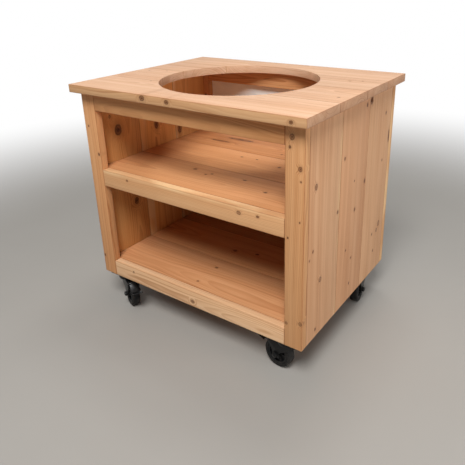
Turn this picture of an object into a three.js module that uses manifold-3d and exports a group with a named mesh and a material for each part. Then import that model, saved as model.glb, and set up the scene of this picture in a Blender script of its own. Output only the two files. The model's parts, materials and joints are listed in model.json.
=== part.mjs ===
// Grill table in timber: a cabinet with two shelves, framed and open at the front and the back,
// under a plank top with a round cut-out. It rolls on four swivel casters, the front two with
// foot brakes.
//
// Lengths are in millimetres. X runs to the right along the front, Y to the back and Z up.
// The floor is z = 0, and the origin lies under the middle of the top.

import * as THREE from 'three';
import { mergeVertices } from 'three/addons/utils/BufferGeometryUtils.js';
import Module from 'manifold-3d';

const wasm = await Module();
wasm.setup();

// Fits
const woodGap = 0.3;
const runningGap = 0.3;
const pressGap = 0.2;
const cutOverrun = 5;

// Top
const topLength = 900;
const topDepth = 700;
const topHeight = 850;
const topThickness = 27;
const topSideOverhang = 20;
const topFrontOverhang = 30;
const topJointSetback = 20;
const topEasedEdge = 2;
const cutOutDiameter = 540;
const cutOutSides = 72;

// Cabinet
const boardThickness = 27;
const frameThickness = 27;
const stileWidth = 60;
const railWidth = 60;
const rearStileWidth = 53;
const easedEdge = 1.5;
const middleShelfLevel = 424;
const shelfThickness = 27;
const shelfBoardCount = 3;
const sideBoardCount = 3;
const cleatThickness = 27;
const cleatHeight = 32;
const joistThickness = 27;
const joistHeight = 32;
const runnerWidth = 100;

// Caster wheel
const wheelDiameter = 100;
const wheelWidth = 32;
const wheelSides = 24;
const tyreDepth = 13;
const tyreShoulder = 6;
const tyreShoulderSteps = 2;
const hubRimDepth = 7;
const hubRimWidth = 28;
const hubWebThickness = 10;
const hubBossDiameter = 22;
const axleDiameter = 10;
const axleSides = 16;
const axleHeadAcross = 17;
const axleHeadHeight = 7;
const axleEndLength = 2;

// Caster fork and swivel head
const casterTrail = 36;
const forkThickness = 4;
const forkSideClearance = 2;
const forkTopClearance = 6;
const forkFrontReach = 33;
const forkShoulderHeight = 12;
const forkEarMargin = 8;
const forkEarHeight = 20;
const forkFootWidth = 26;
const forkFootDrop = 10;
const raceDiameter = 70;
const raceSides = 32;
const lowerRaceHeight = 7.7;
const upperRaceHeight = 6.7;
const kingPinDiameter = 12;
const kingPinHeadDiameter = 22;
const kingPinHeadHeight = 6;
const kingPinSides = 16;

// Caster plate
const plateLength = 105;
const plateWidth = 85;
const plateThickness = 3;
const plateCorner = 8;
const plateScrewSpacingLong = 80;
const plateScrewSpacingShort = 60;
const plateScrewAcross = 13;
const plateScrewHeight = 5.5;

// Brake pedal
const pedalThickness = 3;
const pedalArmWidth = 30;
const pedalPadWidth = 34;
const pedalPivotClearance = 8.6;
const pedalPivotAngle = 65;
const pedalEyeDiameter = 10;
const pedalPinDiameter = 6;
const pedalPinOverhang = 1;
const pedalBendReach = 30;
const pedalBendDrop = 24;
const pedalTipReach = 64;
const pedalTipDrop = 10;

// Where the casters stand, measured in from the cabinet's outer faces
const frontCasterSideInset = 70;
const frontCasterEndInset = 45;
const rearCasterSideInset = 50;
const rearCasterEndInset = 88;

// Which way each wheel trails behind its swivel, in degrees from +X towards +Y
const frontLeftHeading = -27;
const frontRightHeading = 173;
const rearLeftHeading = -104;
const rearRightHeading = -82;

// Levels of the caster, counted up from the floor
const axleLevel = wheelDiameter / 2;
const crownUnderside = wheelDiameter + forkTopClearance;
const crownTop = crownUnderside + forkThickness;
const raceSplit = crownTop + lowerRaceHeight;
const plateUnderside = raceSplit + runningGap + upperRaceHeight;
const casterHeight = plateUnderside + plateThickness;

// Where the pedal turns, counted from the axle: clear of the tyre, up and behind it
const pedalPivotRadius = wheelDiameter / 2 + pedalPivotClearance;
const pedalPivotReach = pedalPivotRadius * Math.cos(THREE.MathUtils.degToRad(pedalPivotAngle));
const pedalPivotRise = pedalPivotRadius * Math.sin(THREE.MathUtils.degToRad(pedalPivotAngle));
const forkEar = casterTrail + pedalPivotReach + forkEarMargin;

// Faces of the cabinet
const cabinetSide = topLength / 2 - topSideOverhang;
const cabinetEnd = topDepth / 2 - topFrontOverhang;
const cabinetBottom = casterHeight + woodGap;
const cabinetTop = topHeight - topThickness - woodGap;
const innerSide = cabinetSide - boardThickness;
const innerFront = -cabinetEnd + frameThickness;
const innerBack = cabinetEnd - frameThickness;
const bottomShelfTop = cabinetBottom + railWidth;
const middleShelfTop = cabinetBottom + middleShelfLevel;

// Across the caster, counted from the wheel's middle plane
const forkInner = wheelWidth / 2 + forkSideClearance;
const forkOuter = forkInner + forkThickness;

const topWood = finish('top_wood', 0xdcae85, 0.62, 0);
const frameWood = finish('frame_wood', 0xc08f60, 0.66, 0);
const sideWood = finish('side_wood', 0xc3966f, 0.66, 0);
const shelfWood = finish('shelf_wood', 0xcf9c6c, 0.64, 0);
const innerWood = finish('inner_wood', 0xb07b49, 0.7, 0);
const blackSteel = finish('black_steel', 0x1b1b1d, 0.42, 0.6);
const tyreRubber = finish('tyre_rubber', 0x171717, 0.78, 0);
const hubPlastic = finish('hub_plastic', 0x202022, 0.5, 0);

function finish(name, color, roughness, metalness) {
  const material = new THREE.MeshStandardMaterial({ color, roughness, metalness });
  material.name = name;
  return material;
}

function piece(name, geometry, material) {
  const mesh = new THREE.Mesh(geometry, material.clone());
  mesh.name = name;
  return mesh;
}

// A closed mesh becomes a solid once its shared corners are one and its empty faces are gone.
function toSolid(geometry) {
  const bare = geometry.clone();
  bare.deleteAttribute('normal');
  bare.deleteAttribute('uv');
  const welded = mergeVertices(bare);
  const faces = [];
  const corners = welded.index.array;
  for (let i = 0; i < corners.length; i += 3) {
    const face = [corners[i], corners[i + 1], corners[i + 2]];
    if (new Set(face).size === face.length) {
      faces.push(...face);
    }
  }
  return new wasm.Manifold(new wasm.Mesh({
    numProp: 3,
    vertProperties: new Float32Array(welded.attributes.position.array),
    triVerts: new Uint32Array(faces),
  }));
}

function toGeometry(solid) {
  const mesh = solid.getMesh();
  const geometry = new THREE.BufferGeometry();
  geometry.setAttribute('position', new THREE.BufferAttribute(mesh.vertProperties, 3));
  geometry.setIndex(new THREE.BufferAttribute(mesh.triVerts, 1));
  geometry.computeVertexNormals();
  return geometry;
}

function join(geometries) {
  return geometries.map(toSolid).reduce((whole, part) => whole.add(part));
}

function clippedRectangle(halfLength, halfWidth, corner) {
  return new THREE.Shape([
    new THREE.Vector2(-halfLength + corner, -halfWidth),
    new THREE.Vector2(halfLength - corner, -halfWidth),
    new THREE.Vector2(halfLength, -halfWidth + corner),
    new THREE.Vector2(halfLength, halfWidth - corner),
    new THREE.Vector2(halfLength - corner, halfWidth),
    new THREE.Vector2(-halfLength + corner, halfWidth),
    new THREE.Vector2(-halfLength, halfWidth - corner),
    new THREE.Vector2(-halfLength, -halfWidth + corner),
  ]);
}

// A board with all its edges eased, in the space between two limits on each axis.
function boardGeometry([left, right], [front, back], [bottom, top], easing) {
  const halfLength = (right - left) / 2;
  const halfWidth = (back - front) / 2;
  const body = new THREE.ExtrudeGeometry(clippedRectangle(halfLength, halfWidth, easing), {
    depth: top - bottom - 2 * easing,
    bevelThickness: easing,
    bevelSize: easing,
    bevelOffset: -easing,
    bevelSegments: 1,
  });
  return body.translate(0, 0, (bottom - top) / 2 + easing);
}

function board(name, material, across, along, up, easing = easedEdge) {
  const mesh = piece(name, boardGeometry(across, along, up, easing), material);
  mesh.position.set(middle(across), middle(along), middle(up));
  return mesh;
}

function middle([low, high]) {
  return (low + high) / 2;
}

// Boards laid side by side over a stretch, with a joint between each two.
function shareOut(low, high, count) {
  const width = (high - low - (count - 1) * woodGap) / count;
  return Array.from({ length: count }, (_, i) => {
    const start = low + i * (width + woodGap);
    return [start, start + width];
  });
}

// The disc that the cut-out takes away, flared at both faces so that its rims are eased.
function cutOutGeometry() {
  const radius = cutOutDiameter / 2;
  const rim = radius + topEasedEdge + cutOverrun;
  const profile = [
    [0, -cutOverrun],
    [rim, -cutOverrun],
    [radius, topEasedEdge],
    [radius, topThickness - topEasedEdge],
    [rim, topThickness + cutOverrun],
    [0, topThickness + cutOverrun],
  ];
  return upright(turned(profile, cutOutSides)).translate(0, 0, topHeight - topThickness);
}

function topPlank(name, across, along) {
  const up = [topHeight - topThickness, topHeight];
  const whole = boardGeometry(across, along, up, topEasedEdge);
  whole.translate(middle(across), middle(along), middle(up));
  return piece(name, toGeometry(toSolid(whole).subtract(toSolid(cutOutGeometry()))), topWood);
}

function tableTop() {
  const end = topLength / 2;
  const [front, frontMiddle] = shareOut(-topDepth / 2, topJointSetback, 2);
  const [rearMiddle, rear] = shareOut(topJointSetback + woodGap, topDepth / 2, 2);
  const leftHalf = [-end, -woodGap / 2];
  const rightHalf = [woodGap / 2, end];
  return [
    topPlank('top_front_plank', [-end, end], front),
    topPlank('top_front_middle_plank_left', leftHalf, frontMiddle),
    topPlank('top_front_middle_plank_right', rightHalf, frontMiddle),
    topPlank('top_rear_middle_plank_left', leftHalf, rearMiddle),
    topPlank('top_rear_middle_plank_right', rightHalf, rearMiddle),
    topPlank('top_rear_plank', [-end, end], rear),
  ];
}

// Two stiles and three rails. The frame's faces lie at the two limits in along.
function frame(prefix, width, along) {
  const stileInner = cabinetSide - width;
  const stileUp = [cabinetBottom, cabinetTop];
  const between = [-stileInner + woodGap, stileInner - woodGap];
  const rail = (level, top) => {
    const up = [top - railWidth, top];
    return board(`${prefix}_${level}_rail`, frameWood, between, along, up);
  };
  return [
    board(`${prefix}_left_stile`, frameWood, [-cabinetSide, -stileInner], along, stileUp),
    board(`${prefix}_right_stile`, frameWood, [stileInner, cabinetSide], along, stileUp),
    rail('top', cabinetTop),
    rail('middle', middleShelfTop),
    rail('bottom', bottomShelfTop),
  ];
}

function sideWall(prefix, across) {
  const stretches = shareOut(innerFront + woodGap, innerBack - woodGap, sideBoardCount);
  const up = [cabinetBottom, cabinetTop];
  return stretches.map((along, i) => (
    board(`${prefix}_side_board_${i + 1}`, sideWood, across, along, up)
  ));
}

function shelf(prefix, top) {
  const across = [-innerSide + woodGap, innerSide - woodGap];
  const stretches = shareOut(innerFront + woodGap, innerBack - woodGap, shelfBoardCount);
  const up = [top - shelfThickness, top];
  return stretches.map((along, i) => (
    board(`${prefix}_shelf_board_${i + 1}`, shelfWood, across, along, up)
  ));
}

function underframe() {
  const along = [innerFront + woodGap, innerBack - woodGap];
  const wall = innerSide - woodGap;
  const shelfUnderside = middleShelfTop - shelfThickness - woodGap;
  const cleatUp = [shelfUnderside - cleatHeight, shelfUnderside];
  const joistUp = [shelfUnderside - joistHeight, shelfUnderside];
  const joistAcross = [-joistThickness / 2, joistThickness / 2];
  const runnerUp = [cabinetBottom, bottomShelfTop - shelfThickness - woodGap];
  return [
    board('left_shelf_cleat', innerWood, [-wall, cleatThickness - wall], along, cleatUp),
    board('right_shelf_cleat', innerWood, [wall - cleatThickness, wall], along, cleatUp),
    board('shelf_joist', innerWood, joistAcross, along, joistUp),
    board('left_base_runner', innerWood, [-wall, runnerWidth - wall], along, runnerUp),
    board('right_base_runner', innerWood, [wall - runnerWidth, wall], along, runnerUp),
  ];
}

// A solid of revolution about its own Y axis, from radius and height pairs. A flat of the
// many-sided form, and not a corner, faces down.
function turned(profile, sides) {
  const points = profile.map(([radius, height]) => new THREE.Vector2(radius, height));
  return new THREE.LatheGeometry(points, sides, Math.PI / sides);
}

function upright(geometry) {
  return geometry.rotateX(Math.PI / 2);
}

// Radii of a wheel are given to its flats, so that it stands on the floor at its full radius.
function turnedToFlats(profile) {
  const corner = 1 / Math.cos(Math.PI / wheelSides);
  return turned(profile.map(([radius, height]) => [radius * corner, height]), wheelSides);
}

function rod(diameter, length, sides) {
  return new THREE.CylinderGeometry(diameter / 2, diameter / 2, length, sides);
}

function hexagon(across, height) {
  return rod(across / Math.cos(Math.PI / 6), height, 6);
}

// A flat outline in the caster's side view, made as wide as asked about the wheel's plane.
function sideProfile(points, width) {
  const outline = new THREE.Shape(points.map(([reach, level]) => new THREE.Vector2(reach, level)));
  const body = new THREE.ExtrudeGeometry(outline, { depth: width, bevelEnabled: false });
  return upright(body.translate(0, 0, -width / 2));
}

function tyre() {
  const outer = wheelDiameter / 2;
  const inner = outer - tyreDepth;
  const half = wheelWidth / 2;
  const shoulder = [];
  for (let i = 0; i <= tyreShoulderSteps; i++) {
    const angle = (i / tyreShoulderSteps) * (Math.PI / 2);
    const radius = outer - tyreShoulder * (1 - Math.sin(angle));
    shoulder.push([radius, half - tyreShoulder * (1 - Math.cos(angle))]);
  }
  const lower = shoulder.map(([radius, height]) => [radius, -height]);
  const upper = [...shoulder].reverse();
  return turnedToFlats([[inner, -half], ...lower, ...upper, [inner, half], [inner, -half]]);
}

function hub() {
  const outer = wheelDiameter / 2 - tyreDepth - pressGap;
  const rimInner = outer - hubRimDepth;
  const bore = axleDiameter / 2 + runningGap;
  const boss = hubBossDiameter / 2;
  const rim = hubRimWidth / 2;
  const web = hubWebThickness / 2;
  const end = forkInner - runningGap;
  return turnedToFlats([
    [bore, -end],
    [boss, -end],
    [boss, -web],
    [rimInner, -web],
    [rimInner, -rim],
    [outer, -rim],
    [outer, rim],
    [rimInner, rim],
    [rimInner, web],
    [boss, web],
    [boss, end],
    [bore, end],
    [bore, -end],
  ]);
}

function axleBolt() {
  const seat = forkOuter + runningGap;
  const shank = rod(axleDiameter, 2 * (seat + axleHeadHeight + axleEndLength), axleSides);
  const away = seat + axleHeadHeight / 2;
  const head = hexagon(axleHeadAcross, axleHeadHeight).translate(0, away, 0);
  const nut = hexagon(axleHeadAcross, axleHeadHeight).translate(0, -away, 0);
  return toGeometry(join([shank, head, nut]));
}

// The side outline of the fork: a broad crown round the swivel, an ear behind it, and legs that
// narrow down to the axle.
function forkOutline() {
  const foot = axleLevel - forkFootDrop;
  return [
    [-forkFrontReach, crownTop],
    [-forkFrontReach, crownTop - forkShoulderHeight],
    [casterTrail - forkFootWidth / 2, axleLevel + forkFootDrop],
    [casterTrail - forkFootWidth / 2, foot],
    [casterTrail + forkFootWidth / 2, foot],
    [casterTrail + forkFootWidth / 2, axleLevel + forkFootDrop],
    [forkEar, crownTop - forkEarHeight],
    [forkEar, crownTop - forkThickness],
    [forkEar - forkThickness, crownTop],
  ];
}

function fork() {
  const raceRadius = raceDiameter / 2;
  const legs = sideProfile(forkOutline(), 2 * forkOuter);
  const race = upright(rod(raceDiameter, raceSplit - crownUnderside, raceSides));
  race.translate(0, 0, (raceSplit + crownUnderside) / 2);
  const underCrown = sideProfile([
    [-forkFrontReach - cutOverrun, -cutOverrun],
    [forkEar + cutOverrun, -cutOverrun],
    [forkEar + cutOverrun, crownTop + cutOverrun],
    [raceRadius + forkThickness, crownTop + cutOverrun],
    [raceRadius + forkThickness, crownUnderside],
    [-forkFrontReach - cutOverrun, crownUnderside],
  ], 2 * forkInner);
  const kingPinHole = upright(rod(kingPinDiameter + 2 * runningGap, raceSplit, kingPinSides));
  kingPinHole.translate(0, 0, raceSplit / 2 + cutOverrun);
  const axleHole = rod(axleDiameter + 2 * runningGap, 2 * (forkOuter + cutOverrun), axleSides);
  axleHole.translate(casterTrail, 0, axleLevel);
  const pedalHole = rod(pedalPinDiameter + 2 * runningGap, 2 * (forkOuter + cutOverrun), axleSides);
  pedalHole.translate(casterTrail + pedalPivotReach, 0, axleLevel + pedalPivotRise);
  const body = toSolid(legs).subtract(toSolid(underCrown)).add(toSolid(race));
  const holes = join([kingPinHole, axleHole, pedalHole]);
  return toGeometry(body.subtract(holes));
}

// Seen from the side, the pedal drops behind the wheel and rises again to its pad. A bent strip
// of even thickness follows the path from pivot to tip.
function pedal() {
  const half = pedalThickness / 2;
  const bend = [pedalBendReach, -pedalBendDrop];
  const tip = [pedalTipReach, -pedalTipDrop];
  const arm = toSolid(strip([0, 0], bend, half, pedalArmWidth));
  const pad = toSolid(strip(bend, tip, half, pedalPadWidth));
  const knee = toSolid(rod(pedalThickness, pedalArmWidth, axleSides).translate(bend[0], 0, bend[1]));
  const eye = toSolid(rod(pedalEyeDiameter, pedalArmWidth, axleSides));
  const pin = toSolid(rod(pedalPinDiameter, 2 * (forkOuter + pedalPinOverhang), axleSides));
  return toGeometry(arm.add(pad).add(knee).add(eye).add(pin));
}

function strip([startReach, startLevel], [endReach, endLevel], half, width) {
  const run = Math.hypot(endReach - startReach, endLevel - startLevel);
  const sideReach = (-half * (endLevel - startLevel)) / run;
  const sideLevel = (half * (endReach - startReach)) / run;
  return sideProfile([
    [startReach - sideReach, startLevel - sideLevel],
    [endReach - sideReach, endLevel - sideLevel],
    [endReach + sideReach, endLevel + sideLevel],
    [startReach + sideReach, startLevel + sideLevel],
  ], width);
}

// The fixed half of the swivel: plate, upper race, king pin with its head, and screw heads.
function casterPlate() {
  const outline = clippedRectangle(plateLength / 2, plateWidth / 2, plateCorner);
  const flat = new THREE.ExtrudeGeometry(outline, { depth: plateThickness, bevelEnabled: false });
  flat.translate(0, 0, plateUnderside);
  const race = upright(rod(raceDiameter, upperRaceHeight + plateThickness, raceSides));
  race.translate(0, 0, casterHeight - (upperRaceHeight + plateThickness) / 2);
  const headTop = crownUnderside - runningGap;
  const pin = upright(rod(kingPinDiameter, casterHeight - headTop, kingPinSides));
  pin.translate(0, 0, (casterHeight + headTop) / 2);
  const head = upright(rod(kingPinHeadDiameter, kingPinHeadHeight, kingPinSides));
  head.translate(0, 0, headTop - kingPinHeadHeight / 2);
  return toGeometry(join([flat, race, pin, head, ...plateScrews()]));
}

function plateScrews() {
  const heads = [];
  for (const along of [-1, 1]) {
    for (const across of [-1, 1]) {
      const head = upright(hexagon(plateScrewAcross, plateScrewHeight + plateThickness));
      const level = casterHeight - (plateScrewHeight + plateThickness) / 2;
      head.translate((along * plateScrewSpacingLong) / 2, (across * plateScrewSpacingShort) / 2, level);
      heads.push(head);
    }
  }
  return heads;
}

function caster({ name, x, y, heading, plateTurn, braked }) {
  const stand = new THREE.Group();
  stand.position.set(x, y, 0);
  const plate = piece(`${name}_caster_plate`, casterPlate(), blackSteel);
  plate.rotation.z = plateTurn;
  const swivel = new THREE.Group();
  swivel.rotation.z = THREE.MathUtils.degToRad(heading);
  const wheel = new THREE.Group();
  wheel.position.set(casterTrail, 0, axleLevel);
  wheel.add(
    piece(`${name}_tyre`, tyre(), tyreRubber),
    piece(`${name}_wheel_hub`, hub(), hubPlastic),
    piece(`${name}_axle_bolt`, axleBolt(), blackSteel),
  );
  swivel.add(piece(`${name}_caster_fork`, fork(), blackSteel), wheel);
  if (braked) {
    const lever = piece(`${name}_brake_pedal`, pedal(), blackSteel);
    lever.position.set(casterTrail + pedalPivotReach, 0, axleLevel + pedalPivotRise);
    swivel.add(lever);
  }
  stand.add(plate, swivel);
  return stand;
}

function casters() {
  const frontX = cabinetSide - frontCasterSideInset;
  const frontY = frontCasterEndInset - cabinetEnd;
  const rearX = cabinetSide - rearCasterSideInset;
  const rearY = cabinetEnd - rearCasterEndInset;
  const front = { y: frontY, plateTurn: 0, braked: true };
  const rear = { y: rearY, plateTurn: Math.PI / 2, braked: false };
  return [
    { name: 'front_left', x: -frontX, heading: frontLeftHeading, ...front },
    { name: 'front_right', x: frontX, heading: frontRightHeading, ...front },
    { name: 'rear_left', x: -rearX, heading: rearLeftHeading, ...rear },
    { name: 'rear_right', x: rearX, heading: rearRightHeading, ...rear },
  ].map(caster);
}

const table = new THREE.Group();
table.add(
  ...tableTop(),
  ...frame('front', stileWidth, [-cabinetEnd, innerFront]),
  ...frame('rear', rearStileWidth, [innerBack, cabinetEnd]),
  ...sideWall('left', [-cabinetSide, -innerSide]),
  ...sideWall('right', [innerSide, cabinetSide]),
  ...shelf('middle', middleShelfTop),
  ...shelf('bottom', bottomShelfTop),
  ...underframe(),
  ...casters(),
);

export default table;
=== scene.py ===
"""Grill table in timber: a plank top with a round cut-out over a cabinet with two shelves, open
at the front and the back, on four black swivel casters.

Lengths are in metres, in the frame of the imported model: X to the right along the front, Y to
the back, Z up, with the floor at zero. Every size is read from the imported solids, or is one of
the settings and named values below.
"""

import json
import math
import random

import bmesh
import bpy
from bpy.props import FloatProperty, FloatVectorProperty, IntProperty, PointerProperty
from bpy.types import Operator, Panel, PropertyGroup
from mathutils import Matrix, Vector


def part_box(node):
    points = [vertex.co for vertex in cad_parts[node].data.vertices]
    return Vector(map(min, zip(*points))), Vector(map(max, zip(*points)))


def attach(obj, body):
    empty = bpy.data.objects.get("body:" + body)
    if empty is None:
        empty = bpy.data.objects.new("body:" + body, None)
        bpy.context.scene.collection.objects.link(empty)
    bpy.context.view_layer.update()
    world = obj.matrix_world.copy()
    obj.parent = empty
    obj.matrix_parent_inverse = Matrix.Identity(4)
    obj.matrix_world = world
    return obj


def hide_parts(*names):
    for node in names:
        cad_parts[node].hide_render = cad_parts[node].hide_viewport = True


bl_info = {
    "name": "Grill table",
    "version": (1, 0, 0),
    "blender": (4, 5, 0),
    "location": "3D View > Sidebar > Grill table",
    "description": "Builds a timber grill table on casters around its packed solids",
    "category": "Add Mesh",
}

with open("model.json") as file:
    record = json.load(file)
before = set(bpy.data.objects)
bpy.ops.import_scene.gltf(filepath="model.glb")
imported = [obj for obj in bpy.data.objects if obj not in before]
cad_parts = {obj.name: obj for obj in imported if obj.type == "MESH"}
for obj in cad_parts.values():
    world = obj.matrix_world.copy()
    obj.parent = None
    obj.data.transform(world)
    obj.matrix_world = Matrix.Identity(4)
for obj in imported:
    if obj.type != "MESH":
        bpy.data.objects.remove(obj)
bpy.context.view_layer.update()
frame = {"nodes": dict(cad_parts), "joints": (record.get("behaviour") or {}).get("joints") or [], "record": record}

MM = 0.001
BODY_OF = {
    node: body
    for body, nodes in frame["record"]["behaviour"]["bodies"].items()
    for node in nodes
}
SLOT_OF = {part["node"]: part["material_slot"] for part in frame["record"]["subparts"]}
JOINTS = {joint["name"]: joint for joint in frame["joints"]}
CASTERS = ("front_left", "front_right", "rear_left", "rear_right")
BRAKED = ("front_left", "front_right")

TOP_PLANKS = (
    "top_front_plank",
    "top_front_middle_plank_left",
    "top_front_middle_plank_right",
    "top_rear_middle_plank_left",
    "top_rear_middle_plank_right",
    "top_rear_plank",
)
FRAME_MEMBERS = ("left_stile", "right_stile", "top_rail", "middle_rail", "bottom_rail")
UNDERFRAME = (
    "left_shelf_cleat",
    "right_shelf_cleat",
    "shelf_joist",
    "left_base_runner",
    "right_base_runner",
)

# Knots by board: the place along the board and across it, as shares of the board, the size as a
# share of the usual knot, then how dark it is, and how its width compares with its length. An
# edge knot comes out of the board's long edge, and its second share is taken through the board.
FACE_KNOT_SHARES = {
    "top_front_plank": ((0.23, 0.95, 0.35, 0.6),),
    "top_front_middle_plank_left": ((0.06, 0.74, 0.4, 0.5), (0.13, 0.9, 0.35, 0.5)),
    "top_front_middle_plank_right": ((0.96, 0.34, 0.45, 0.6),),
    "top_rear_middle_plank_right": ((0.88, 0.68, 0.4, 0.5), (0.92, 0.78, 0.35, 0.5)),
    "front_top_rail": (),
    "front_right_stile": (
        (0.95, 0.35, 0.9, 0.7), (0.91, 0.25, 0.5, 0.8), (0.83, 0.78, 0.75), (0.78, 0.82, 0.3),
        (0.61, 0.78, 0.3), (0.53, 0.17, 0.35), (0.12, 0.12, 0.5, 0.5), (0.14, 0.9, 0.7, 0.4),
    ),
    "front_left_stile": ((0.83, 0.28, 0.4), (0.69, 0.85, 0.6), (0.1, 0.12, 0.5)),
    "front_middle_rail": ((0.16, 0.72, 0.45), (0.79, 0.66, 0.75, 0.5), (0.88, 0.72, 0.5)),
    "front_bottom_rail": ((0.51, 0.33, 0.75, 0.6), (0.13, 0.7, 0.4)),
    "right_side_board_1": (
        (0.73, 0.2, 0.95, 0.6), (0.54, 0.94, 0.6), (0.45, 0.15, 0.5), (0.28, 0.41, 0.9, 0.35),
        (0.42, 0.05, 0.35), (0.04, 0.29, 0.6),
    ),
    "right_side_board_2": (
        (0.96, 0.88, 0.65, 0.95), (0.77, 0.12, 0.6), (0.59, 0.96, 0.75), (0.63, 0.53, 0.35),
        (0.48, 0.6, 0.65), (0.3, 0.32, 0.45), (0.23, 0.55, 0.45), (0.09, 0.53, 0.5),
    ),
    "right_side_board_3": (
        (0.97, 0.06, 1.3, 0.95), (0.87, 0.75, 0.55), (0.63, 0.72, 0.45),
        (0.74, 0.96, 0.7, 0.95, 0.25), (0.27, 0.78, 1.1, 0.35), (0.24, 0.7, 0.8, 0.4),
        (0.24, 0.48, 0.5), (0.13, 0.59, 0.5),
    ),
    "left_side_board_1": (
        (0.77, 0.46, 1.9, 1.0, 0.72), (0.34, 0.72, 1.4, 0.9), (0.85, 0.3, 0.6, 0.5),
    ),
    "left_side_board_2": ((0.735, 0.45, 1.3, 1.0, 0.6), (0.3, 0.7, 0.6)),
    "left_side_board_3": ((0.67, 0.12, 1.5, 0.8, 0.5), (0.4, 0.6, 0.8)),
    "middle_shelf_board_1": (
        (0.38, 0.76, 0.7), (0.46, 0.65, 0.5), (0.48, 0.72, 0.45), (0.64, 0.77, 0.6),
        (0.78, 0.51, 0.6),
    ),
    "middle_shelf_board_2": ((0.46, 0.73, 0.5), (0.54, 0.75, 0.45), (0.68, 0.6, 0.6)),
    "middle_shelf_board_3": (
        # Two long, thin dark streaks on this board are drawn as stretched knots
        (0.6, 0.23, 0.5), (0.3, 0.62, 1.2, 0.7, 0.16), (0.22, 0.35, 0.9, 0.6, 0.16),
    ),
    "bottom_shelf_board_1": ((0.48, 0.17, 0.5, 0.6), (0.48, 0.71, 0.6)),
    "bottom_shelf_board_2": ((0.46, 0.41, 0.8), (0.57, 0.52, 0.7)),
    "rear_top_rail": ((0.1, 0.6, 0.5),),
}
EDGE_KNOT_SHARES = {
    "top_front_plank": ((0.38, 0.6, 1.05), (0.49, 0.56, 0.85), (0.95, 0.44, 0.65)),
}
# How dark a knot is and how its width compares with its length where its row doesn't say
USUAL_KNOT = (0.85, 0.8)
EDGE_KNOT_SECTION = (0.85, 0.0, 1.0)
# Boards whose faces show straight grain, because the pith lay beside them and not behind
STRAIGHT_GRAINED = ("right_side_board", "front_right_stile", "front_left_stile", "front_middle")

# How much of a board's width is sapwood, counted from its far edge, or from its near edge where
# the share is below nought
SAPWOOD_SHARES = {
    "right_side_board_1": 0.04,
    "left_side_board_2": -0.17,
    "left_side_board_3": -0.06,
    "front_middle_rail": 0.12,
    "rear_right_stile": 0.3,
    "rear_bottom_rail": -0.25,
}
SAPWOOD_STRENGTH = 0.7

# How some boards differ in tone from their neighbours, as red, green and blue factors. Some are
# the boards' own tones, and some are painted light and shade: the darker back boards of both
# shelves are painted shade, and the left side's middle board, the lower shelf's middle board and
# the front frame's top and bottom rails are made paler or darker to stand in for how light falls.
BOARD_TONES_AND_PAINTED_LIGHT = {
    "front_bottom_rail": (1.22, 1.5, 1.9),
    "front_middle_rail": (1.03, 1.12, 1.2),
    "front_right_stile": (1.04, 1.08, 1.1),
    "front_top_rail": (1.0, 0.95, 0.87),
    "bottom_shelf_board_1": (0.99, 1.01, 1.06),
    "bottom_shelf_board_2": (1.05, 1.06, 1.05),
    "bottom_shelf_board_3": (0.88, 0.82, 0.75),
    "middle_shelf_board_1": (0.97, 0.97, 0.96),
    "middle_shelf_board_2": (1.02, 1.02, 1.0),
    "middle_shelf_board_3": (0.86, 0.8, 0.73),
    "left_side_board_2": (1.18, 1.22, 1.18),
    "right_side_board_1": (1.05, 1.08, 1.09),
    "right_side_board_3": (1.06, 1.1, 1.11),
}

# Patterns of the grain: how often each changes in a metre, along the board and across it, and
# how many layers of finer detail it has
GRAIN_PATTERNS = {
    "waver": (1.5, 4.0, 1.0),
    "ripple": (9.0, 34.0, 1.0),
    "fading": (3.0, 22.0, 1.0),
    "patches": (3.0, 26.0, 1.0),
    "streak": (4.5, 330.0, 2.0),
    "fibre": (14.0, 900.0, 3.0),
    "tone": (2.2, 9.0, 2.0),
    "band": (0.9, 46.0, 2.0),
}
RING_WAVER = 55 * MM
RING_RIPPLE = 4 * MM
# Years differ in thickness: how quickly that changes from year to year, and by how many years
UNEVEN_PACE = 0.33
UNEVEN_YEARS = 2.2
# The dark late wood of a year, from where it starts to where it is full, and from its end back
# to where it is full, then how strong it is in the faintest year and where the rings fade
LATE_RISE = (0.2, 0.88)
LATE_FALL = (1.0, 0.92)
FAINT_YEAR = 0.3
FADED_RINGS = 0.45

# How patterns of the grain tint the pale wood: between which values of the pattern the tint
# grows, how strong it gets, and the tint
GRAIN_TINTS = {
    "Band": (0.32, 0.68, 0.42, (0.8, 0.66, 0.52)),
    "Tone": (0.35, 0.7, 0.25, (0.86, 0.73, 0.62)),
    "Fibre": (0.45, 0.75, 0.35, (0.78, 0.66, 0.54)),
}
STREAK_STRENGTH = 0.5
STREAK_TINT = (0.62, 0.42, 0.28)
# How strongly the parts of a knot are stained, and with which colour of the settings
KNOT_STAINS = (
    ("Halo", 0.32, "knot_colour"),
    ("Heart", 0.8, "knot_colour"),
    ("Bark", 0.75, "bark_colour"),
    ("Check", 0.9, "bark_colour"),
)
# How strongly the wood is tinted near its edges, right along them, and on the board's ends. The
# planks of the top have darker lines along their edges, and their long side faces are tinted
# darker and yellower than the top face, as painted shade.
DARK_EDGE = (0.5, 0.34, 0.22)
EDGE_TINTS = {"Edge": (0.2, DARK_EDGE), "Line": (0.65, DARK_EDGE), "End": (0.75, (0.7, 0.62, 0.56))}
TOP_EDGE_TINTS_AND_SIDE_SHADE = {**EDGE_TINTS, "Line": (0.8, DARK_EDGE), "Side": (1.0, (0.84, 0.76, 0.58))}

# The relief of the timber: its depth, then how high the late wood stands and how deep the
# other parts lie, as shares of that depth
TIMBER_DEPTH = 0.12 * MM
LATE_RELIEF = 0.5
HOLLOWS = {"Fibre": 0.7, "Streak": 0.5, "Bark": 1.5, "Check": 3.0}
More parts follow.
